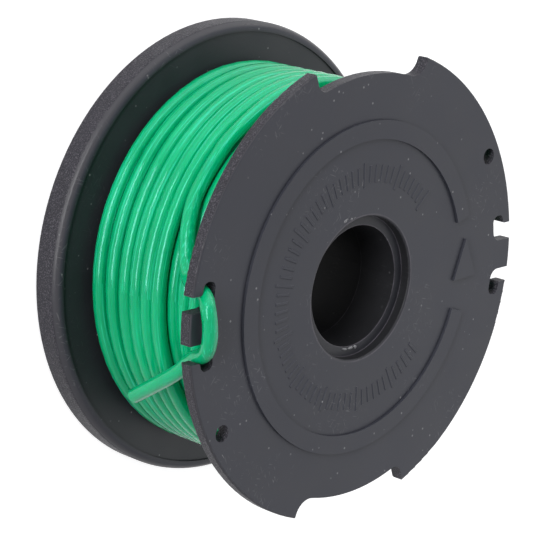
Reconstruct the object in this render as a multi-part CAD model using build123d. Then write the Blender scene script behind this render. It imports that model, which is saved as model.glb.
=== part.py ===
from build123d import *
from math import cos, degrees, pi, radians, sin, sqrt, tan
import os

os.makedirs("parts", exist_ok=True)

# Driving sizes, in millimetres and degrees. Z is the spool's axis and the rear flange stands on Z 0.
# Angles run anticlockwise seen from the front. The two tabs of the front flange lie at 0 and 180.

# Flanges and the barrel that the line is wound on
SPOOL_HEIGHT = 29.2
FRONT_RADIUS = 32.2
FRONT_THICKNESS = 1.8
FRONT_EDGE_ROUND = 0.25
REAR_RADIUS = 32.4
REAR_THICKNESS = 4.2
REAR_EDGE_ROUND = 1.2
REAR_FOOT_ROUND = 0.4
REAR_LIP_WIDTH = 1.35
REAR_LIP_HEIGHT = 0.25
BARREL_RADIUS = 19.7
BARREL_WALL = 2.0

# Rear face of the rear flange: a thin web inside a deeper rim, stiffened by radial ribs
REAR_WEB = 1.8
REAR_RIM_WALL = 2.2
REAR_RIB_COUNT = 12
REAR_RIB_WIDTH = 1.3
REAR_RIB_SETBACK = 0.6

# Stepped bore, from the front: counterbore, running collar and a relieved length
BORE_RADIUS = 8.4
COUNTERBORE_RADIUS = 9.8
COUNTERBORE_TAPER = 0.05
COUNTERBORE_DEPTH = 1.45
COUNTERBORE_ROUND = 0.3
COLLAR_LENGTH = 6.15
COLLAR_RELIEF = 0.8
BORE_WALL = 3.0
BORE_SETBACK = 1.2

# Ribs that carry the bore's tube inside the barrel, with a saw tooth at the rear end of each
HUB_RIB_COUNT = 8
HUB_RIB_WIDTH = 1.4
HUB_RIB_SETBACK = 4.6
DRIVE_TOOTH_HEIGHT = 3.0
DRIVE_TOOTH_TIP = 1.0
DRIVE_TOOTH_RAMP = 4.2
DRIVE_TOOTH_BACKING = 2.2

# L-shaped line slots on both sides of each tab: an opening in the rim and a pocket behind its hook
TAB_WIDTH = 4.2
ENTRY_WIDTH = 2.1
EXIT_WIDTH = 2.5
POCKET_REACH = 3.75
HOOK_WALL = 1.67
TAB_ROUND = 1.5
POCKET_END_ROUND = 0.9
HOOK_ROUND = 0.4

# Long shallow scallops in the front rim, each with one steep end and one eased end
SCALLOP_DEPTH = 3.05
SCALLOP_SPAN = 40.4
SCALLOP_ANGLE = 90.45
SCALLOP_STEEP_ROUND = 1.5
SCALLOP_EASED_ROUND = 2.6

# Small round holes near the front rim
RIM_HOLE_DIAMETER = 2.3
RIM_HOLE_INSET = 2.5
RIM_HOLE_ANGLE = 30.1

# Raised band on the front face, with an arrowhead in its gap
BAND_OUTER_RADIUS = 22.95
BAND_WIDTH = 2.55
BAND_HEIGHT = 0.35
BAND_GAP = 35.5
ARROW_WIDTH = 4.75
ARROW_LENGTH = 5.7
ARROW_ANGLE = 2.1

# Line and its winding
LINE_DIAMETER = 2.03
LINE_CLEARANCE = 0.1
FULL_LAYERS = 3
OUTER_TURNS = 6
LOOSE_TURNS = 2
LOOSE_GAP = 0.47
TURN_GAP = 0.03
FIRST_TURN_GAP = 0.95
LAST_TURN_START = 250.0
LAST_TURN_END = 497.7

# Heights, radii and pitches that follow
FRONT_UNDERSIDE = SPOOL_HEIGHT - FRONT_THICKNESS
REAR_FACE_HEIGHT = REAR_THICKNESS - REAR_LIP_HEIGHT
LEDGE_HEIGHT = SPOOL_HEIGHT - COUNTERBORE_DEPTH
LINE_RADIUS = LINE_DIAMETER / 2
TURN_PITCH = LINE_DIAMETER + TURN_GAP
LAYER_PITCH = LINE_DIAMETER * sqrt(3) / 2
LOWER_LAYER_RADIUS = BARREL_RADIUS + LINE_RADIUS + (FULL_LAYERS - 1) * LAYER_PITCH
OUTER_LAYER_RADIUS = LOWER_LAYER_RADIUS + LAYER_PITCH
FIRST_TURN_HEIGHT = REAR_FACE_HEIGHT + FIRST_TURN_GAP + LINE_RADIUS
LAST_TURN_HEIGHT = FIRST_TURN_HEIGHT + OUTER_TURNS * TURN_PITCH + LOOSE_TURNS * (LOOSE_GAP - TURN_GAP)
POCKET_WIDTH = LINE_DIAMETER + LINE_CLEARANCE
POCKET_RADIUS = FRONT_RADIUS - HOOK_WALL - POCKET_WIDTH / 2
POCKET_FLOOR_RADIUS = POCKET_RADIUS - POCKET_WIDTH / 2
CUT_MARGIN = 2.0

# Loose end of the line: distance out from the outer layer or the slot pocket, angle, and height over the
# last turn or over the front face
END_OF_WINDING = [
    (0.0, 0.0, 0.0),
    (0.31, 8.8, 0.0),
    (0.75, 17.8, 1.1),
    (0.95, 25.0, 2.3),
]
END_ROUND_TAB = [
    (-2.3, 167.4, -6.8),
    (-1.57, 170.2, -5.3),
    (-0.5, 170.9, -3.5),
    (0.02, 171.1, -2.0),
    (0.04, 172.4, -0.4),
    (0.89, 174.8, 1.05),
    (0.59, 178.9, 1.4),
    (0.59, 184.0, 1.3),
    (0.29, 187.25, 0.05),
    (0.0, 188.6, -1.9),
    (-0.45, 190.9, -3.6),
    (-0.07, 194.3, -5.2),
    (0.54, 198.9, -8.8),
    (1.16, 205.4, -14.3),
]


def disc(radius, low, high):
    """A solid disc on the axis between two heights."""
    return Pos(0, 0, low) * Cylinder(radius, high - low, align=(Align.CENTER, Align.CENTER, Align.MIN))


def polar(radius, angle, height=0.0):
    """A point from its radius, angle and height."""
    return Vector(radius * cos(radians(angle)), radius * sin(radians(angle)), height)


def around(shape, count, first=0.0):
    """Copies of a shape spaced evenly about the axis."""
    return [Rot(0, 0, first + 360 / count * index) * shape for index in range(count)]


def ring_sector(inner, outer, first, span):
    """A flat piece of a ring, from its first angle through its span."""
    last = first + span
    return make_face([
        CenterArc((0, 0), outer, first, span),
        Line(polar(outer, last), polar(inner, last)),
        CenterArc((0, 0), inner, first, span),
        Line(polar(inner, first), polar(outer, first)),
    ])


def rounded_at(plan, corner, radius):
    """A plan with the corner nearest to a point rounded."""
    return fillet(plan.vertices().sort_by_distance(corner)[0], radius)


def through_front(plan):
    """A cutter that carries a plan right through the front flange."""
    return extrude(Pos(0, 0, FRONT_UNDERSIDE - CUT_MARGIN) * plan, FRONT_THICKNESS + 2 * CUT_MARGIN)


def spool_blank():
    """Both flanges and the barrel, open at the rear, round the bore's tube."""
    rear = disc(REAR_RADIUS, 0, REAR_THICKNESS)
    rear = fillet(rear.edges().filter_by(GeomType.CIRCLE).sort_by(Axis.Z)[-1], REAR_EDGE_ROUND)
    rear = fillet(rear.edges().filter_by(GeomType.CIRCLE).sort_by(Axis.Z)[0], REAR_FOOT_ROUND)
    rear -= disc(REAR_RADIUS - REAR_LIP_WIDTH, REAR_FACE_HEIGHT, REAR_THICKNESS)
    front = disc(FRONT_RADIUS, FRONT_UNDERSIDE, SPOOL_HEIGHT)
    front = fillet(front.edges().filter_by(GeomType.CIRCLE), FRONT_EDGE_ROUND)
    recess = disc(REAR_RADIUS - REAR_RIM_WALL, 0, REAR_FACE_HEIGHT - REAR_WEB)
    barrel = disc(BARREL_RADIUS, 0, FRONT_UNDERSIDE)
    hollow = disc(BARREL_RADIUS - BARREL_WALL, 0, FRONT_UNDERSIDE)
    tube = disc(BORE_RADIUS + BORE_WALL, BORE_SETBACK, FRONT_UNDERSIDE)
    return rear - recess + barrel - hollow + tube + front


def rear_ribs():
    """Radial ribs that stiffen the web of the rear flange."""
    inner = BARREL_RADIUS - BARREL_WALL / 2
    outer = REAR_RADIUS - REAR_RIM_WALL / 2
    height = REAR_FACE_HEIGHT - REAR_WEB / 2 - REAR_RIB_SETBACK
    rib = Box(outer - inner, REAR_RIB_WIDTH, height, align=(Align.MIN, Align.CENTER, Align.MIN))
    return around(Pos(inner, 0, REAR_RIB_SETBACK) * rib, REAR_RIB_COUNT, 180 / REAR_RIB_COUNT)


def hub_ribs():
    """Radial ribs from the bore's tube to the barrel, each ending in a saw tooth that the head drives."""
    inner = BORE_RADIUS + BORE_WALL / 2
    outer = BARREL_RADIUS - BARREL_WALL / 2
    flank = -HUB_RIB_WIDTH / 2
    tooth_foot = HUB_RIB_SETBACK - DRIVE_TOOTH_HEIGHT
    side = Polyline(
        (flank, FRONT_UNDERSIDE),
        (flank, tooth_foot),
        (flank + DRIVE_TOOTH_TIP, tooth_foot),
        (flank + DRIVE_TOOTH_TIP + DRIVE_TOOTH_RAMP, HUB_RIB_SETBACK),
        (flank + HUB_RIB_WIDTH, HUB_RIB_SETBACK + DRIVE_TOOTH_BACKING),
        (flank + HUB_RIB_WIDTH, FRONT_UNDERSIDE),
        close=True,
    )
    rib = extrude(Plane.YZ * make_face(side), outer - inner)
    return around(Pos(inner, 0, 0) * rib, HUB_RIB_COUNT)


def stepped_bore():
    """The bore as one turned profile, with the lip of its counterbore rounded."""
    collar_foot = LEDGE_HEIGHT - COLLAR_LENGTH
    relief = BORE_RADIUS + COLLAR_RELIEF
    lip = COUNTERBORE_RADIUS + COUNTERBORE_TAPER
    mouth = lip + COUNTERBORE_ROUND
    above = SPOOL_HEIGHT + CUT_MARGIN
    lower = Polyline(
        (0, 0),
        (relief, 0),
        (relief, collar_foot),
        (BORE_RADIUS, collar_foot),
        (BORE_RADIUS, LEDGE_HEIGHT),
        (COUNTERBORE_RADIUS, LEDGE_HEIGHT),
        (lip, SPOOL_HEIGHT - COUNTERBORE_ROUND),
    )
    edge = CenterArc((mouth, SPOOL_HEIGHT - COUNTERBORE_ROUND), COUNTERBORE_ROUND, 90, 90)
    upper = Polyline((mouth, SPOOL_HEIGHT), (mouth, above), (0, above), (0, 0))
    return revolve(Plane.XZ * make_face([*lower.edges(), edge, *upper.edges()]), Axis.Z)


def line_slot(width):
    """The slot on the anticlockwise side of the tab at 0."""
    tab_edge = TAB_WIDTH / 2
    hook_edge = tab_edge + width
    opening = Pos(0, tab_edge) * Rectangle(FRONT_RADIUS + CUT_MARGIN, width, align=(Align.MIN, Align.MIN))
    opening -= Circle(POCKET_FLOOR_RADIUS)
    first = degrees((tab_edge + width / 2) / POCKET_RADIUS)
    last = degrees((tab_edge + POCKET_REACH) / POCKET_RADIUS)
    outer = POCKET_FLOOR_RADIUS + POCKET_WIDTH
    plan = opening + ring_sector(POCKET_FLOOR_RADIUS, outer, first, last - first)
    plan = rounded_at(plan, (POCKET_FLOOR_RADIUS, tab_edge, 0), TAB_ROUND)
    plan = rounded_at(plan, polar(POCKET_FLOOR_RADIUS, last), POCKET_END_ROUND)
    plan = rounded_at(plan, polar(outer, last), POCKET_END_ROUND)
    plan = rounded_at(plan, (outer, hook_edge, 0), HOOK_ROUND)
    return through_front(plan)


def scallop():
    """The first scallop, steep at its anticlockwise end."""
    floor_radius = FRONT_RADIUS - SCALLOP_DEPTH
    first = SCALLOP_ANGLE - SCALLOP_SPAN / 2
    last = first + SCALLOP_SPAN
    plan = ring_sector(floor_radius, FRONT_RADIUS + CUT_MARGIN, first, SCALLOP_SPAN)
    plan = rounded_at(plan, polar(floor_radius, last), SCALLOP_STEEP_ROUND)
    plan = rounded_at(plan, polar(floor_radius, first), SCALLOP_EASED_ROUND)
    return through_front(plan)


def rim_cuts():
    """All that is cut in the front rim, twice, half a turn apart."""
    hole = Pos(polar(FRONT_RADIUS - RIM_HOLE_INSET, RIM_HOLE_ANGLE)) * Circle(RIM_HOLE_DIAMETER / 2)
    cuts = [
        line_slot(EXIT_WIDTH),
        mirror(line_slot(ENTRY_WIDTH), about=Plane.XZ),
        scallop(),
        through_front(hole),
    ]
    return [copy for cut in cuts for copy in around(cut, 2)]


def direction_mark():
    """The raised band and its arrowhead, which points the way that the spool turns."""
    middle = BAND_OUTER_RADIUS - BAND_WIDTH / 2
    band = ring_sector(BAND_OUTER_RADIUS - BAND_WIDTH, BAND_OUTER_RADIUS, BAND_GAP / 2, 360 - BAND_GAP)
    arrow = make_face(Polyline(
        (middle - ARROW_WIDTH / 2, -ARROW_LENGTH / 2),
        (middle + ARROW_WIDTH / 2, -ARROW_LENGTH / 2),
        (middle, ARROW_LENGTH / 2),
        close=True,
    ))
    root = SPOOL_HEIGHT - FRONT_THICKNESS / 2
    height = FRONT_THICKNESS / 2 + BAND_HEIGHT
    return [extrude(Pos(0, 0, root) * mark, height) for mark in (band, Rot(0, 0, ARROW_ANGLE) * arrow)]


def make_spool():
    """The whole moulding."""
    spool = spool_blank() + rear_ribs() + hub_ribs() - stepped_bore()
    return spool - rim_cuts() + direction_mark()


def ridge(radius, height):
    """The rounded outside of one turn, as wide as its pitch."""
    low = (radius, height - TURN_PITCH / 2)
    high = (radius, height + TURN_PITCH / 2)
    return ThreePointArc(low, (radius + LINE_RADIUS, height), high)


def part_turn():
    """The last turn of the outer layer, which ends before it meets its start."""
    foot = LAST_TURN_HEIGHT - TURN_PITCH / 2
    top = LAST_TURN_HEIGHT + TURN_PITCH / 2
    sides = Polyline(
        (OUTER_LAYER_RADIUS, foot),
        (LOWER_LAYER_RADIUS, foot),
        (LOWER_LAYER_RADIUS, top),
        (OUTER_LAYER_RADIUS, top),
    )
    section = make_face([*sides.edges(), ridge(OUTER_LAYER_RADIUS, LAST_TURN_HEIGHT)])
    sweep = LAST_TURN_END - LAST_TURN_START
    return Rot(0, 0, LAST_TURN_START) * revolve(Plane.XZ * section, Axis.Z, sweep)


def make_wound_line():
    """The wound turns as one solid on the barrel, ridged where the turns show."""
    edges = []
    height = FIRST_TURN_HEIGHT
    for turn in range(OUTER_TURNS):
        edges.append(ridge(OUTER_LAYER_RADIUS, height))
        top = height + TURN_PITCH / 2
        height += TURN_PITCH
        if turn < LOOSE_TURNS:
            height += LOOSE_GAP - TURN_GAP
            edges.append(Line((OUTER_LAYER_RADIUS, top), (OUTER_LAYER_RADIUS, height - TURN_PITCH / 2)))
    shoulder = height - TURN_PITCH / 2
    lower_crest = LOWER_LAYER_RADIUS + LINE_RADIUS
    room = FRONT_UNDERSIDE - height
    count = int(room / LINE_DIAMETER)
    pitch = room / count
    first = height + pitch / 2
    edges.append(Line((OUTER_LAYER_RADIUS, shoulder), (lower_crest, shoulder)))
    halfway = (LOWER_LAYER_RADIUS + LINE_RADIUS * cos(pi / 4), shoulder + TURN_PITCH / 2 * sin(pi / 4))
    edges.append(ThreePointArc((lower_crest, shoulder), halfway, (LOWER_LAYER_RADIUS, height)))
    for turn in range(count):
        middle = first + turn * pitch
        low = (LOWER_LAYER_RADIUS, middle - pitch / 2)
        high = (LOWER_LAYER_RADIUS, middle + pitch / 2)
        edges.append(ThreePointArc(low, (lower_crest, middle), high))
    low_edge = FIRST_TURN_HEIGHT - TURN_PITCH / 2
    edges.append(Polyline(
        (LOWER_LAYER_RADIUS, FRONT_UNDERSIDE),
        (BARREL_RADIUS, FRONT_UNDERSIDE),
        (BARREL_RADIUS, REAR_FACE_HEIGHT),
        (lower_crest, REAR_FACE_HEIGHT),
        (lower_crest, low_edge),
        (OUTER_LAYER_RADIUS, low_edge),
    ))
    section = make_face([edge for group in edges for edge in group.edges()])
    return revolve(Plane.XZ * section, Axis.Z) + part_turn()


def tail_points():
    """The corners of the loose end's route."""
    first = [
        polar(OUTER_LAYER_RADIUS + out, LAST_TURN_END + angle, LAST_TURN_HEIGHT + up)
        for out, angle, up in END_OF_WINDING
    ]
    second = [polar(POCKET_RADIUS + out, angle, SPOOL_HEIGHT + up) for out, angle, up in END_ROUND_TAB]
    return first + second


def bend_radii(points):
    """The largest arc that each corner's two runs allow."""
    radii = []
    for before, corner, after in zip(points, points[1:], points[2:]):
        arriving = corner - before
        leaving = after - corner
        turn = arriving.get_angle(leaving)
        radii.append(0.45 * min(arriving.length, leaving.length) / tan(radians(turn / 2)))
    return radii


def make_line_tail():
    """The loose end: off the winding, through one slot, over the tab and out behind the other."""
    points = tail_points()
    radii = bend_radii(points)
    print("bend radii", [round(radius, 1) for radius in radii])
    route = FilletPolyline(*points, radius=radii)
    section = Plane(route @ 0, z_dir=route % 0) * Circle(LINE_RADIUS)
    tail = sweep(section, path=route)
    expected = pi * LINE_RADIUS**2 * route.length
    print("loose end", round(route.length, 2), "long, volume ratio", round(tail.volume / expected, 4))
    return tail


export_step(make_spool(), "parts/spool.step")
export_step(make_wound_line(), "parts/wound_line.step")
export_step(make_line_tail(), "parts/line_tail.step")
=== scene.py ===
# Trimmer line spool: its camera, line, moulded plastic and lights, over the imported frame
import math
import bmesh
import bpy
from mathutils import Matrix, Vector, noise


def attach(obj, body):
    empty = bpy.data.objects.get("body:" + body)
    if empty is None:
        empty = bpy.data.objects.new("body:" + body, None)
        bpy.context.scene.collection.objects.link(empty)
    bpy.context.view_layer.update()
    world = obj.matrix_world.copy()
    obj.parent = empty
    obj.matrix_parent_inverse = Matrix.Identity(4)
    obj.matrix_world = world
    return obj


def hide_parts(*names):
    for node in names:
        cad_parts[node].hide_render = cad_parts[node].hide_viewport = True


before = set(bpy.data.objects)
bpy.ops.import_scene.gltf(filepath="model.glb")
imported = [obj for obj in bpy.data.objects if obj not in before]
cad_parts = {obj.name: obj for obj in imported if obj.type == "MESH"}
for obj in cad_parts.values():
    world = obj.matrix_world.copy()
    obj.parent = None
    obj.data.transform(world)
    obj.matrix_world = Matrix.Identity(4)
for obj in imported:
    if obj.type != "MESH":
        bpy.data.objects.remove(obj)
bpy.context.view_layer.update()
print("frame loaded")


def onSpool(radius, angle, height):
    # millimetres and degrees about the bore's axis, to metres
    turn = math.radians(angle)
    return Vector((radius * math.cos(turn), radius * math.sin(turn), height)) / 1000


# the place and turn of the camera were fitted to the rims of both flanges, in metres
cameraView = {
    "place": (-0.2155, 0.0792, 0.2126),
    "right": (0.6909, 0.0477, 0.7215),
    "up": (0.1578, 0.9639, -0.2148),
    "lens": 147.85,
    "sensor": 36,
    "nearest": 0.01,
}


def addCamera(view):
    camera = bpy.data.objects.new("camera", bpy.data.cameras.new("camera"))
    bpy.context.collection.objects.link(camera)
    right = Vector(view["right"]).normalized()
    back = right.cross(Vector(view["up"])).normalized()
    up = back.cross(right)
    turned = Matrix((right, up, back)).transposed().to_4x4()
    camera.matrix_world = Matrix.Translation(view["place"]) @ turned
    camera.data.lens = view["lens"]
    camera.data.sensor_width = view["sensor"]
    camera.data.clip_start = view["nearest"]
    bpy.context.scene.camera = camera


addCamera(cameraView)
print("camera set")


# the line's sizes are in millimetres and degrees
line = {
    "thickness": 2.03,
    "roundness": 6,
    "smoothness": 10,
    # radius, angle and height of each bend of the loose end
    "looseEnd": [
        (26.15, 137.7, 19.16),
        (26.40, 146.5, 19.16),
        (26.74, 155.5, 20.26),
        (26.94, 162.7, 21.46),
        (27.17, 167.4, 22.4),
        (27.90, 170.2, 23.9),
        (28.97, 170.9, 25.7),
        (29.49, 171.1, 27.2),
        (29.51, 172.4, 28.8),
        (30.36, 174.8, 30.25),
        (30.06, 178.9, 30.6),
        (30.06, 184.0, 30.5),
        (29.76, 187.25, 29.25),
        (29.47, 188.6, 27.3),
        (29.02, 190.9, 25.6),
        (29.40, 194.3, 24.0),
        (30.01, 198.9, 20.4),
        (30.63, 205.4, 14.9),
    ],
    "looseLength": 48.0,
}


def addLineCurve(name, points, thickness, roundness, smoothness):
    curve = bpy.data.curves.new(name, "CURVE")
    curve.dimensions = "3D"
    # the points' own radius sets the thickness: half of it, in metres
    curve.bevel_depth = 1
    curve.bevel_resolution = roundness
    curve.use_fill_caps = True
    spline = curve.splines.new("NURBS")
    spline.points.add(len(points) - 1)
    for knot, point in zip(spline.points, points):
        knot.co = (*point, 1)
        knot.radius = thickness / 2000
    spline.order_u = 3
    spline.use_endpoint_u = True
    spline.resolution_u = smoothness
    strand = bpy.data.objects.new(name, curve)
    bpy.context.collection.objects.link(strand)
    return strand


def addLooseEnd(line):
    points = [onSpool(*place) for place in line["looseEnd"]]
    strand = addLineCurve("looseEnd", points, line["thickness"], line["roundness"], line["smoothness"])
    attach(strand, "root")
    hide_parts("line_tail")
    return strand


looseEnd = addLooseEnd(line)
print("loose end laid")

turns = {
    "seenAt": 163.0,
    "seenTurns": 6,
    # turns counted from where the winding is seen, with the radius and height there
    "route": [
        (-32.00, 20.72, 26.37),
        (-21.80, 20.72, 4.98),
        (-21.50, 22.47, 4.98),
        (-11.30, 22.47, 26.37),
        (-11.00, 24.24, 26.37),
        (-0.72, 24.24, 4.98),
        (-0.45, 26.20, 4.98),
        (0.0, 26.20, 5.80),
        (1.0, 26.20, 8.35),
        (2.0, 26.20, 10.88),
        (3.0, 26.20, 12.98),
        (4.0, 26.20, 15.04),
        (5.0, 26.20, 17.10),
        (5.7, 26.20, 18.65),
    ],
    "pointsATurn": 12,
    "roundness": 4,
    "smoothness": 5,
    # the turns stray up and down by this much, at this pace, along this line through the noise
    "wander": 0.04,
    "wanderPace": 1.7,
    "wanderLine": (3.1, 0.4),
    # the last even point stays this share of a step clear of the end
    "clearOfEnd": 0.6,
    # straight stretch before the loose end, and how far the strand reaches into it
    "straight": 4.5,
    "overlap": 1.5,
}


def alongRoute(route, count):
    for (first, radiusA, heightA), (last, radiusB, heightB) in zip(route, route[1:]):
        if first <= count <= last:
            share = (count - first) / (last - first)
            return radiusA + (radiusB - radiusA) * share, heightA + (heightB - heightA) * share
    return route[-1][1:]


def windingPoints(turns, line):
    radius, angle, height = line["looseEnd"][0]
    end = turns["seenTurns"] + (angle - turns["seenAt"]) / 360
    route = [*turns["route"], (end, radius, height)]
    step = 1 / turns["pointsATurn"]
    # the curve cuts inside the corners of its points, so the points stand a little further out
    outward = 1 / (0.75 + 0.25 * math.cos(2 * math.pi * step))
    count = route[0][0]
    points = []
    while count < end - step * turns["clearOfEnd"]:
        radius, height = alongRoute(route, count)
        sway = noise.noise(Vector((count * turns["wanderPace"], *turns["wanderLine"]))) * turns["wander"]
        angle = turns["seenAt"] + 360 * count
        points.append(onSpool(radius * outward, angle, height + sway))
        count += step
    # the last points lead straight into the loose end
    start = onSpool(*line["looseEnd"][0])
    heading = (onSpool(*line["looseEnd"][1]) - start).normalized()
    straight, overlap = turns["straight"] / 1000, turns["overlap"] / 1000
    points += [start - heading * straight, start, start + heading * overlap]
    return points


def addWinding(turns, line):
    points = windingPoints(turns, line)
    strand = addLineCurve("woundLine", points, line["thickness"], turns["roundness"], turns["smoothness"])
    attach(strand, "root")
    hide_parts("wound_line")
    return strand


woundLine = addWinding(turns, line)
print("turns wound")


# low raised marks in a ring on the front face, in millimetres and degrees
indexMarks = {
    "face": 29.2,
    "rise": 0.10,
    "first": 42.0,
    "last": 322.0,
    "count": 66,
    "inner": 14.5,
    "outer": 16.9,
    "longInner": 13.9,
    "longOuter": 17.4,
    "longEvery": 6,
    "width": 0.46,
    "slope": 0.09,
    "root": 0.15,
}


def addTick(mesh, inner, outer, angle, marks):
    # a block rooted in the face, with sides that slope in above it
    turn = Matrix.Rotation(math.radians(angle), 4, "Z")
    rings = []
    for height, spread in ((-marks["root"], 0.0), (0.0, 0.0), (marks["rise"], -marks["slope"])):
        half = marks["width"] / 2 + spread
        low, high = inner - spread, outer + spread
        corners = ((low, -half), (high, -half), (high, half), (low, half))
        places = [Vector((x, y, marks["face"] + height)) / 1000 for x, y in corners]
        rings.append([mesh.verts.new(turn @ place) for place in places])
    for lower, upper in zip(rings, rings[1:]):
        for side in range(4):
            after = (side + 1) % 4
            mesh.faces.new((lower[side], lower[after], upper[after], upper[side]))
    mesh.faces.new(rings[-1])
    mesh.faces.new(list(reversed(rings[0])))


def addIndexMarks(marks):
    mesh = bmesh.new()
    for index in range(marks["count"]):
        long = index % marks["longEvery"] == 0
        angle = marks["first"] + (marks["last"] - marks["first"]) / marks["count"] * index
        inner = marks["longInner"] if long else marks["inner"]
        outer = marks["longOuter"] if long else marks["outer"]
        addTick(mesh, inner, outer, angle, marks)
    data = bpy.data.meshes.new("indexMarks")
    mesh.to_mesh(data)
    mesh.free()
    ring = bpy.data.objects.new("indexMarks", data)
    bpy.context.collection.objects.link(ring)
    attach(ring, "root")
    return ring


indexRing = addIndexMarks(indexMarks)
print("index marks raised")


# bits of flash that the mould left at the edges, in millimetres and degrees
mouldFlash = {
    # radius, angle and height, then length along the radius, round it and upwards, and a twist
    "lumps": [
        ((10.75, 112.0, 29.20), (0.40, 0.90, 0.26), 8.0),
        ((10.45, 106.5, 29.18), (0.34, 0.42, 0.30), -20.0),
        ((10.35, 103.0, 29.16), (0.20, 0.60, 0.16), 4.0),
        ((8.75, 262.0, 27.78), (0.34, 1.10, 0.22), -6.0),
        ((8.72, 270.0, 27.80), (0.42, 1.00, 0.34), 5.0),
        ((8.78, 276.0, 27.80), (0.50, 0.50, 0.40), 0.0),
        ((13.50, 98.0, 29.21), (1.30, 0.10, 0.06), -12.0),
        ((14.70, 94.4, 29.21), (0.90, 0.08, 0.05), -9.0),
        ((22.24, 72.1, 29.21), (0.24, 0.14, 0.05), 30.0),
        ((31.10, 215.6, 29.19), (0.10, 0.90, 0.06), 0.0),
    ],
    "fineness": 3,
    "swelling": 0.22,
    "swellingPace": 2.6,
}


def addFlash(look):
    mesh = bmesh.new()
    for place, sides, twist in look["lumps"]:
        around = Matrix.Rotation(math.radians(place[1] + twist), 4, "Z")
        stretched = Matrix.Diagonal((*[side / 1000 for side in sides], 1))
        shape = Matrix.Translation(onSpool(*place)) @ around @ stretched
        made = bmesh.ops.create_icosphere(mesh, subdivisions=look["fineness"], radius=0.5)
        for vert in made["verts"]:
            swell = noise.noise(vert.co * look["swellingPace"] + Vector(place)) * look["swelling"]
            vert.co = shape @ (vert.co * (1 + swell))
    data = bpy.data.meshes.new("mouldFlash")
    mesh.to_mesh(data)
    mesh.free()
    flash = bpy.data.objects.new("mouldFlash", data)
    bpy.context.collection.objects.link(flash)
    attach(flash, "root")
    return flash


flashBits = addFlash(mouldFlash)
print("flash left on")


class Reading:
    # one value among the nodes; each sum on it adds a Math node

    def __init__(self, tree, socket):
        self.tree = tree
        self.socket = socket

    def worked(self, operation, *values):
        return self.tree.node("Math", {"operation": operation}, dict(enumerate(values)))

    def __add__(self, other):
        return self.worked("ADD", self, other)

    def __radd__(self, other):
        return self.worked("ADD", other, self)

    def __sub__(self, other):
        return self.worked("SUBTRACT", self, other)

    def __rsub__(self, other):
        return self.worked("SUBTRACT", other, self)

    def __mul__(self, other):
        return self.worked("MULTIPLY", self, other)

    def __rmul__(self, other):
        return self.worked("MULTIPLY", other, self)

    def __pow__(self, other):
        return self.worked("POWER", self, other)

    def __rpow__(self, other):
        return self.worked("POWER", other, self)

    def __abs__(self):
        return self.worked("ABSOLUTE", self)


class Tree:
    # the nodes of a material or of the world

    def __init__(self, owner, output):
        owner.use_nodes = True
        self.nodes = owner.node_tree.nodes
        self.links = owner.node_tree.links
        self.nodes.clear()
        self.output = self.nodes.new("ShaderNodeOutput" + output)

    def feed(self, socket, value):
        if isinstance(value, Reading):
            self.links.new(value.socket, socket)
        elif isinstance(value, tuple) and len(value) == 3 and socket.type == "RGBA":
            socket.default_value = (*value, 1)
        else:
            socket.default_value = value

    def node(self, kind, settings=None, inputs=None, out=0):
        made = self.nodes.new("ShaderNode" + kind)
        for name, value in (settings or {}).items():
            setattr(made, name, value)
        for name, value in (inputs or {}).items():
            self.feed(made.inputs[name], value)
        return Reading(self, made.outputs[out])

    def place(self, out="Object"):
        return self.node("TexCoord", out=out)

    def grain(self, scale, detail=2.0, roughness=0.5, vector=None):
        inputs = {"Vector": vector or self.place(), "Scale": scale, "Detail": detail}
        return self.node("TexNoise", None, {**inputs, "Roughness": roughness})

    def cells(self, scale):
        # distance from scattered points
        inputs = {"Vector": self.place(), "Scale": scale, "Randomness": 1.0}
        return self.node("TexVoronoi", {"feature": "F1"}, inputs)

    def between(self, value, low, high, toLow=0.0, toHigh=1.0):
        inputs = {0: value, 1: low, 2: high, 3: toLow, 4: toHigh}
        return self.node("MapRange", {"interpolation_type": "SMOOTHSTEP"}, inputs)

    def blend(self, factor, first, second, way="MIX"):
        settings = {"data_type": "RGBA", "blend_type": way}
        return self.node("Mix", settings, {0: factor, 6: first, 7: second}, 2)

    def bump(self, height, strength, distance, under=None):
        inputs = {"Height": height, "Strength": strength, "Distance": distance}
        if under:
            inputs["Normal"] = under
        return self.node("Bump", None, inputs)

    def parted(self, vector):
        made = self.node("SeparateXYZ", None, {0: vector}).socket.node
        return [Reading(self, socket) for socket in made.outputs]

    def shaded(self, colour, amount):
        tone = self.node("CombineColor", None, {0: amount, 1: amount, 2: amount})
        return self.blend(1.0, colour, tone, "MULTIPLY")

    def seenPlainly(self):
        # one for camera, glossy and transmission rays, and nothing for the rest
        rays = ("Is Camera Ray", "Is Glossy Ray", "Is Transmission Ray")
        path = self.node("LightPath").socket.node
        camera, glossy, through = [Reading(self, path.outputs[ray]) for ray in rays]
        return camera.worked("MINIMUM", camera + glossy + through, 1.0)


class Finish(Tree):
    # a material with one Principled shader

    def __init__(self, name, **shader):
        self.material = bpy.data.materials.new(name)
        super().__init__(self.material, "Material")
        self.shader = self.nodes.new("ShaderNodeBsdfPrincipled")
        self.links.new(self.shader.outputs[0], self.output.inputs[0])
        for socket, value in shader.items():
            self.set(socket.replace("_", " "), value)

    def set(self, socket, value):
        self.feed(self.shader.inputs[socket], value)


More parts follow.
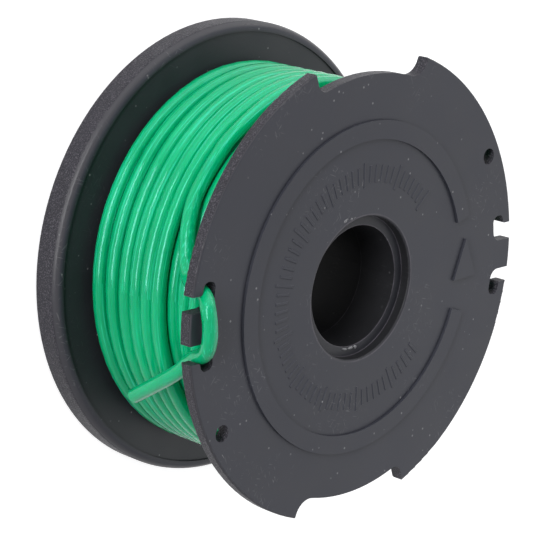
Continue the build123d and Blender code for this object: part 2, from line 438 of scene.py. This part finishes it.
mouldedBlack = {
    "face": (0.0320, 0.0333, 0.0430),
    # the hollow colour is painted shade that darkens the bore
    "hollow": (0.0130, 0.0132, 0.0150),
    # the inside colour is painted shade on the rear flange's inner face, tinted green as a painted
    # reflection of the winding
    "inside": (0.0205, 0.0232, 0.0270),
    "rim": (0.0200, 0.0190, 0.0250),
    # painted glints: the sparkle on the rims and the highlight lines on the bore's edges
    "paintedGlint": (0.072, 0.067, 0.080),
    # the edge colour is a painted highlight on the rounded outer edges, which are also smoother
    "edge": (0.046, 0.045, 0.052),
    "roughness": 0.42,
    "rimRoughness": 0.46,
    "edgeRoughness": 0.30,
    "shine": 0.19,
    "ior": 1.5,
    # how far the surface faces up or down: under the first it is a wall, over the second a face
    "wallSlope": (0.35, 0.75),
    "edgeFromWall": (0.18, 0.45),
    "edgeToFace": (0.80, 0.97),
    # distances from the axis and heights, in metres
    "rimReach": (0.0275, 0.0285),
    "edgeReach": (0.0285, 0.0292),
    "innerFace": (0.0041, 0.0045),
    "innerReach": (0.0310, 0.0316),
    "mouth": (0.01005, 0.01025),
    "hollowFace": 0.55,
    # painted highlight lines on edges of the bore, by radius and height
    "rings": ((0.0084, 0.02160), (0.0084, 0.02775), (0.0098, 0.02775), (0.01015, 0.02920)),
    "ringFade": (0.000056, 0.00014),
    # grains as scale, detail and roughness
    "mottle": (180.0, 4.0, 0.6),
    "cloud": (38.0, 2.0, 0.5),
    "pebble": (5000.0, 1.0, 0.6),
    "satin": (4200.0, 2.0, 0.5),
    # from and to in the grain, then what comes of it
    "mottleShade": (0.25, 0.75, 0.93, 1.07),
    "mottleRoughness": (0.3, 0.7, 0.38, 0.47),
    "cloudShade": (0.3, 0.7, 0.95, 1.05),
    "edgeRubbed": (0.2, 0.6, 0.6, 1.0),
    "ringHighlightBreakup": (0.35, 0.6, 0.2, 1.0),
    "sparkle": (0.50, 0.68),
    # depths of the bumps, as strength and metres
    "cloudDepth": (0.12, 0.0006),
    "satinDepth": (0.12, 0.00006),
    "pebbleDepth": (0.75, 0.00022),
}

plasticDust = {
    "colour": (0.30, 0.30, 0.31),
    "roughness": 0.3,
    # scale of the scattered points, size of the specks on them, and where they gather
    "specks": 640.0,
    "speckSize": (0.05, 0.13),
    "speckPatch": (260.0, 0.49, 0.60),
    "speckShare": 0.60,
    "crumbs": 120.0,
    "crumbSize": (0.015, 0.05),
    "crumbPatch": (90.0, 0.56, 0.62),
    "crumbShare": 0.45,
    # scratches run three ways, in radians, with their fineness across and along
    "slants": (0.35, 1.25, 2.45),
    "across": 5200.0,
    "along": 620.0,
    "scratchDepth": (0.74, 0.80),
    "scratchPatch": (75.0, 0.52, 0.64),
    "scratchShare": 0.17,
    # how much of it is missing in the bore, and of the scratches inside the rear flange
    "cleanHollow": 0.8,
    "cleanInside": 0.8,
}


def scratched(finish, look, inside):
    x, y, z = finish.parted(finish.place())
    scratches = 0.0
    for slant in look["slants"]:
        across = x * math.cos(slant) + y * math.sin(slant)
        along = y * math.cos(slant) - x * math.sin(slant)
        parts = {0: across * look["across"], 1: along * look["along"], 2: z * look["along"]}
        drawn = finish.node("CombineXYZ", None, parts)
        scratches = finish.between(finish.grain(1.0, 0.0, 0.5, drawn), *look["scratchDepth"]) + scratches
    scale, *patch = look["scratchPatch"]
    return scratches * finish.between(finish.grain(scale, 1.0), *patch) * (1 - inside * look["cleanInside"])


def dusted(finish, look, rim, hollow, inside):
    # small bright specks, a few of them much larger, and fine scratches
    scale, *patch = look["speckPatch"]
    specks = finish.between(finish.cells(look["specks"]), *look["speckSize"], 1.0, 0.0)
    specks = specks * finish.between(finish.grain(scale, 1.0), *patch)
    scale, *patch = look["crumbPatch"]
    crumbs = finish.between(finish.cells(look["crumbs"]), *look["crumbSize"], 1.0, 0.0)
    crumbs = crumbs * finish.between(finish.grain(scale, 1.0), *patch)
    scratches = scratched(finish, look, inside)
    lying = specks * look["speckShare"] + crumbs * look["crumbShare"] + scratches * look["scratchShare"]
    return lying * (1 - rim) * (1 - hollow * look["cleanHollow"])


def makeMouldedBlack(look, dustLook):
    finish = Finish("mouldedBlack", IOR=look["ior"], Specular_IOR_Level=look["shine"])
    x, y, z = finish.parted(finish.place())
    fromAxis = (x * x + y * y) ** 0.5
    upright = abs(finish.parted(finish.place("Normal"))[2])
    mottle = finish.grain(*look["mottle"])
    cloud = finish.grain(*look["cloud"])
    pebble = finish.grain(*look["pebble"])

    # where the surface is: outer rims with painted glints, their rounded edges with a painted highlight,
    # rear flange's inner face with painted shade, bore with painted shade
    wall = finish.between(upright, *look["wallSlope"], 1.0, 0.0)
    rim = wall * finish.between(fromAxis, *look["rimReach"])
    # painted highlight along the rounded outer edges, broken up by the cloud
    turned = finish.between(upright, *look["edgeFromWall"])
    turned = turned * finish.between(upright, *look["edgeToFace"], 1.0, 0.0)
    edge = turned * finish.between(fromAxis, *look["edgeReach"]) * finish.between(cloud, *look["edgeRubbed"])
    # painted shade on the rear flange, inside its rim and under the winding
    inside = finish.between(z, *look["innerFace"], 1.0, 0.0)
    inside = inside * finish.between(fromAxis, *look["innerReach"], 1.0, 0.0)
    hollow = finish.between(fromAxis, *look["mouth"], 1.0, 0.0)

    colour = finish.blend(inside, look["face"], look["inside"])
    # painted shade in the bore: all of it on the walls, this share of it on the ledge and floor
    boreShade = hollow * (look["hollowFace"] + wall * (1 - look["hollowFace"]))
    colour = finish.blend(boreShade, colour, look["hollow"])
    colour = finish.blend(rim, colour, look["rim"])
    shade = finish.between(mottle, *look["mottleShade"]) * finish.between(cloud, *look["cloudShade"])
    colour = finish.shaded(colour, shade)
    # painted glints scattered over the rims' grain
    paintedGlint = rim * (1 - edge) * finish.between(pebble, *look["sparkle"])
    colour = finish.blend(paintedGlint, colour, look["paintedGlint"])
    colour = finish.blend(edge, colour, look["edge"])
    # painted highlight lines along the bore's edges, broken up by the mottle
    for radius, height in look["rings"]:
        away = ((fromAxis - radius) ** 2.0 + (z - height) ** 2.0) ** 0.5
        ring = finish.between(away, *look["ringFade"], 1.0, 0.0)
        colour = finish.blend(ring * finish.between(mottle, *look["ringHighlightBreakup"]), colour, look["paintedGlint"])
    lying = dusted(finish, dustLook, rim, hollow, inside)
    finish.set("Base Color", finish.blend(lying, colour, dustLook["colour"]))

    rough = finish.between(mottle, *look["mottleRoughness"]) + lying * dustLook["roughness"]
    rough = rough + rim * (look["rimRoughness"] - look["roughness"])
    finish.set("Roughness", rough + edge * (look["edgeRoughness"] - look["roughness"]))

    # spark-eroded grain on the rims, a finer satin on the faces
    waves = finish.bump(cloud, *look["cloudDepth"])
    grained = finish.bump(finish.grain(*look["satin"]), *look["satinDepth"], waves)
    finish.set("Normal", finish.bump(pebble * rim * (1 - edge), *look["pebbleDepth"], grained))
    return finish.material


rubbedBlack = {
    "dark": (0.070, 0.070, 0.078),
    "light": (0.190, 0.190, 0.200),
    "shine": 0.35,
    "ior": 1.5,
    "patch": (1500.0, 3.0, 0.6),
    "patchColour": (0.35, 0.65),
    "patchRoughness": (0.3, 0.7, 0.32, 0.47),
    "depth": (0.2, 0.00008),
}


def makeRubbedBlack(look):
    finish = Finish("rubbedBlack", IOR=look["ior"], Specular_IOR_Level=look["shine"])
    patch = finish.grain(*look["patch"])
    pale = finish.between(patch, *look["patchColour"])
    finish.set("Base Color", finish.blend(pale, look["dark"], look["light"]))
    finish.set("Roughness", finish.between(patch, *look["patchRoughness"]))
    finish.set("Normal", finish.bump(patch, *look["depth"]))
    return finish.material


nylonGreen = {
    "light": (0.001, 0.395, 0.162),
    "deep": (0.0005, 0.325, 0.128),
    # the streak highlight colour is a painted highlight along the strands
    "streakHighlightColour": (0.030, 0.52, 0.31),
    "streakHighlight": 0.7,
    "streakHighlightFrom": (0.57, 0.68),
    "cloudColour": (0.3, 0.7),
    "paintedStreakShade": (0.3, 0.7, 0.88, 1.06),
    "streakRoughness": (0.3, 0.7, 0.12, 0.23),
    "shine": 0.38,
    "ior": 1.53,
    "tint": (0.45, 0.95, 1.0),
    # light that sinks in: how much, how far in metres, and how far each colour goes
    "murk": 0.35,
    "murkDepth": 0.0016,
    "murkColour": (0.15, 1.0, 0.45),
    "cloud": (60.0, 2.0, 0.5),
    "mottle": (420.0, 3.0, 0.55),
    # streaks for each radian round the barrel, and for each metre across the line
    "streaksAlong": 1.0,
    "streaksAcross": 3900.0,
    # where the line lies round the spool, in metres: on the barrel, ahead of the slot and over the tab
    "barrelReach": (0.0280, 0.0284),
    "slotSide": (0.0050, 0.0060),
    "tabTop": (0.0298, 0.0302),
    "mottleDepth": (0.03, 0.00010),
    "streakDepth": (0.15, 0.00008),
}


def makeNylonGreen(look):
    finish = Finish("nylonGreen", IOR=look["ior"], Specular_IOR_Level=look["shine"],
                    Specular_Tint=look["tint"], Subsurface_Weight=look["murk"],
                    Subsurface_Scale=look["murkDepth"], Subsurface_Radius=look["murkColour"])
    x, y, z = finish.parted(finish.place())
    fromAxis = (x * x + y * y) ** 0.5
    # fine streaks run along the line where it lies round the spool, and fade where it turns off; in the
    # colour they are painted highlight lines
    along = y.worked("ARCTAN2", y, x) * look["streaksAlong"]
    across = look["streaksAcross"]
    drawn = finish.node("CombineXYZ", None, {0: along, 1: fromAxis * across, 2: z * across})
    onBarrel = finish.between(fromAxis, *look["barrelReach"], 1.0, 0.0)
    beforeSlot = finish.between(y, *look["slotSide"])
    overTab = finish.between(z, *look["tabTop"])
    laid = onBarrel.worked("MINIMUM", onBarrel + beforeSlot + overTab, 1.0)
    streak = (finish.grain(1.0, 2.0, 0.5, drawn) - 0.5) * laid + 0.5
    cloud = finish.grain(*look["cloud"])
    mottle = finish.grain(*look["mottle"])
    colour = finish.blend(finish.between(cloud, *look["cloudColour"]), look["deep"], look["light"])
    # painted highlight: the streaks lighten and darken the colour, and the brightest of them turn mint
    colour = finish.shaded(colour, finish.between(streak, *look["paintedStreakShade"]))
    streakHighlight = finish.between(streak, *look["streakHighlightFrom"], 0.0, look["streakHighlight"])
    finish.set("Base Color", finish.blend(streakHighlight, colour, look["streakHighlightColour"]))
    finish.set("Roughness", finish.between(streak, *look["streakRoughness"]))
    mottled = finish.bump(mottle, *look["mottleDepth"])
    finish.set("Normal", finish.bump(streak, *look["streakDepth"], mottled))
    return finish.material


blackPlastic = makeMouldedBlack(mouldedBlack, plasticDust)
palePlastic = makeRubbedBlack(rubbedBlack)
greenNylon = makeNylonGreen(nylonGreen)


def dress(piece, material):
    piece.data.materials.clear()
    piece.data.materials.append(material)


dress(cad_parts["spool"], blackPlastic)
dress(indexRing, blackPlastic)
dress(flashBits, palePlastic)
dress(woundLine, greenNylon)
dress(looseEnd, greenNylon)
print("finishes made")


studio = {
    "floor": 3.0,
    "floorDrop": 0.0002,
    "floorColour": (0.60, 0.60, 0.61),
    "floorRoughness": 0.9,
    "floorIor": 1.3,
    # white added for what sees the floor plainly
    "floorGlow": 0.72,
    "room": (0.98, 0.985, 1.0),
    # the room's light is dim below the picture and brighter above it
    "roomShade": 0.06,
    "roomLight": 0.40,
    "roomFade": (-0.8, 0.8),
    "aim": (0, 0, 0.014),
    # direction from the spool, distance and sides in metres, watts
    "lamps": {
        "leftBox": ((-0.89, 0.32, 0.31), 0.6, (0.66, 0.15), 3.8),
        "topBox": ((0.29, 0.90, 0.33), 0.6, (1.2, 0.5), 2.9),
        "frontBox": ((0.64, -0.23, 0.73), 0.6, (0.7, 0.7), 1.4),
    },
}


def addFloor(look):
    mesh = bmesh.new()
    bmesh.ops.create_grid(mesh, x_segments=1, y_segments=1, size=look["floor"])
    data = bpy.data.meshes.new("floor")
    mesh.to_mesh(data)
    mesh.free()
    floor = bpy.data.objects.new("floor", data)
    floor.location.z = -look["floorDrop"]
    bpy.context.collection.objects.link(floor)
    finish = Finish("paleFloor", Base_Color=look["floorColour"], Roughness=look["floorRoughness"],
                    IOR=look["floorIor"])
    plain = Reading(finish, finish.shader.outputs[0])
    glow = finish.node("Emission", None, {"Color": (1.0, 1.0, 1.0), "Strength": look["floorGlow"]})
    both = finish.node("AddShader", None, {0: plain, 1: glow})
    mixed = finish.node("MixShader", None, {0: finish.seenPlainly(), 1: plain, 2: both})
    finish.feed(finish.output.inputs[0], mixed)
    dress(floor, finish.material)


def addLamps(look):
    for name, (way, distance, sides, power) in look["lamps"].items():
        lamp = bpy.data.objects.new(name, bpy.data.lights.new(name, "AREA"))
        lamp.data.shape = "RECTANGLE"
        lamp.data.size, lamp.data.size_y = sides
        lamp.data.energy = power
        toSpool = -Vector(way).normalized()
        lamp.location = Vector(look["aim"]) - toSpool * distance
        lamp.rotation_euler = toSpool.to_track_quat("-Z", "Y").to_euler()
        bpy.context.collection.objects.link(lamp)


def setWorld(look):
    world = bpy.data.worlds.new("room")
    bpy.context.scene.world = world
    room = Tree(world, "World")
    height = room.parted(room.place("Generated"))[1]
    level = room.between(height, *look["roomFade"], look["roomShade"], look["roomLight"])
    shown = room.seenPlainly()
    strength = level + (1.0 - level) * shown
    light = room.node("Background", None, {"Color": look["room"], "Strength": strength})
    room.feed(room.output.inputs[0], light)
    bpy.context.scene.view_settings.view_transform = "Standard"


addFloor(studio)
addLamps(studio)
setWorld(studio)
print("studio lit")

bpy.context.view_layer.update()
